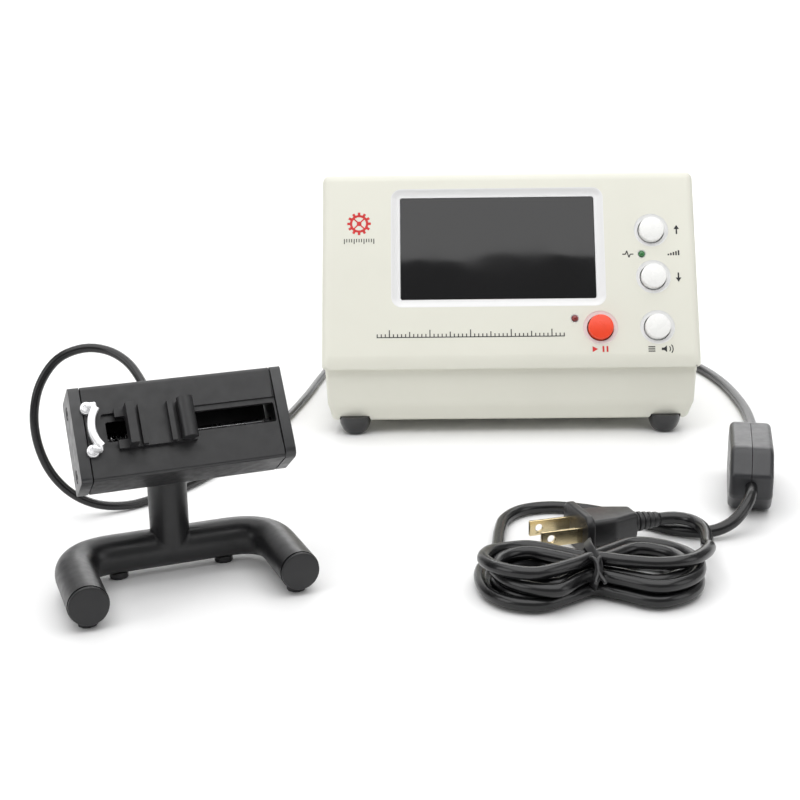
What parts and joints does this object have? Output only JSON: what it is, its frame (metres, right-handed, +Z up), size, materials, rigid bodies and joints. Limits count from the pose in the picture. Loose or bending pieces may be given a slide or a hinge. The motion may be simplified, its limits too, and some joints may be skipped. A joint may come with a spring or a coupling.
{
  "type": "timegrapher",
  "caption": "Watch timing machine: sloping console with display and push buttons, swivelling microphone stand with a sliding watch clamp, microphone cable and mains lead with switch and plug.",
  "frame": {"origin": "centre of the footprint of the console and the microphone stand, without the free cords, on the table they stand on", "axes": "+X to the user's right, the front panel faces -Y, +Z up"},
  "size_m": [0.3394, 0.3879, 0.1273],
  "materials": {
    "case_shell": "satin ivory moulding",
    "black_rubber": "black rubber",
    "screw_steel": "plain",
    "window": "glossy tinted window",
    "display": "grey module frame",
    "white_button": "satin white",
    "red_button": "satin orange red",
    "green_lamp": "clear tinted",
    "red_lamp": "clear tinted",
    "circuit_board": "green solder mask",
    "transformer": "laminated core",
    "speaker": "black",
    "socket": "plated",
    "tube_paint": "satin black",
    "anodised": "black anodised",
    "cap_screws": "black oxide",
    "contact": "bright plated",
    "piezo": "plain",
    "cord_jacket": "glossy black",
    "plug_moulding": "black moulding",
    "switch_moulding": "dark grey moulding",
    "blade_brass": "bright"
  },
  "bodies": {
    "root": {"case_cover": "case_shell", "case_base": "case_shell", "foot_front_left": "black_rubber", "foot_front_right": "black_rubber", "foot_rear_left": "black_rubber", "foot_rear_right": "black_rubber", "case_screw_1": "screw_steel", "case_screw_2": "screw_steel", "case_screw_3": "screw_steel", "case_screw_4": "screw_steel", "screen_window": "window", "display_module": "display", "signal_lamp": "green_lamp", "run_lamp": "red_lamp", "button_board": "circuit_board", "main_board": "circuit_board", "mains_transformer": "transformer", "speaker": "speaker", "mains_strain_relief": "black_rubber", "microphone_socket": "socket", "stand_tube": "tube_paint", "tube_cap_left": "black_rubber", "stand_pad_front_left": "black_rubber", "stand_pad_rear_left": "black_rubber", "tube_cap_right": "black_rubber", "stand_pad_front_right": "black_rubber", "stand_pad_rear_right": "black_rubber", "cable_boot": "black_rubber", "microphone_plug": "plug_moulding", "microphone_cable": "cord_jacket", "mains_lead_upper": "cord_jacket", "mains_lead_lower": "cord_jacket", "mains_lead_end": "cord_jacket", "mains_lead_bundle": "cord_jacket", "switch_shell_back": "switch_moulding", "switch_shell_front": "switch_moulding", "switch_screw_1": "screw_steel", "switch_screw_2": "screw_steel", "plug_body": "plug_moulding", "plug_blade_near": "blade_brass", "plug_blade_far": "blade_brass"},
    "swivel": {"swivel_knuckle": "anodised"},
    "head": {"head_housing": "anodised", "tilt_pin": "screw_steel", "end_cap_left": "anodised", "end_cap_right": "anodised", "cap_screw_left_1": "cap_screws", "cap_screw_left_2": "cap_screws", "cap_screw_right_1": "cap_screws", "cap_screw_right_2": "cap_screws", "crown_contact": "contact", "guide_rod": "screw_steel", "slider_spring": "screw_steel", "piezo_disc": "piezo"},
    "slider": {"clamp_slider": "anodised"},
    "value_up": {"button_value_up": "white_button"},
    "value_down": {"button_value_down": "white_button"},
    "start_stop": {"button_start_stop": "red_button"},
    "menu": {"button_menu": "white_button"},
    "rocker": {"switch_rocker": "switch_moulding"}
  },
  "joints": [
    {"name": "head_swivel", "type": "hinge", "parent": "root", "child": "swivel", "pos_m": [-0.09986, -0.1207, 0.04], "axis": [0, 0, 1], "range_deg": [-45, 45]},
    {"name": "head_tilt", "type": "hinge", "parent": "swivel", "child": "head", "pos_m": [-0.10101, -0.11792, 0.048], "axis": [-0.9239, -0.3827, 0], "range_deg": [-15, 57]},
    {"name": "clamp_slide", "type": "slide", "parent": "head", "child": "slider", "axis": [0.9239, 0.3827, 0], "range_m": [0, 0.03], "stiffness_N_per_m": 60, "springref_m": -0.01},
    {"name": "value_up_press", "type": "slide", "parent": "root", "child": "value_up", "axis": [0, 0.8903, -0.4553], "range_m": [0, 0.0015], "stiffness_N_per_m": 700, "springref_m": -0.0005},
    {"name": "value_down_press", "type": "slide", "parent": "root", "child": "value_down", "axis": [0, 0.8903, -0.4553], "range_m": [0, 0.0015], "stiffness_N_per_m": 700, "springref_m": -0.0005},
    {"name": "start_stop_press", "type": "slide", "parent": "root", "child": "start_stop", "axis": [0, 0.8903, -0.4553], "range_m": [0, 0.0015], "stiffness_N_per_m": 700, "springref_m": -0.0005},
    {"name": "menu_press", "type": "slide", "parent": "root", "child": "menu", "axis": [0, 0.8903, -0.4553], "range_m": [0, 0.0015], "stiffness_N_per_m": 700, "springref_m": -0.0005},
    {"name": "rocker_tip", "type": "hinge", "parent": "root", "child": "rocker", "pos_m": [0.14291, -0.04354, 0.0142], "axis": [0, 0, 1], "range_deg": [0, 16]}
  ]
}
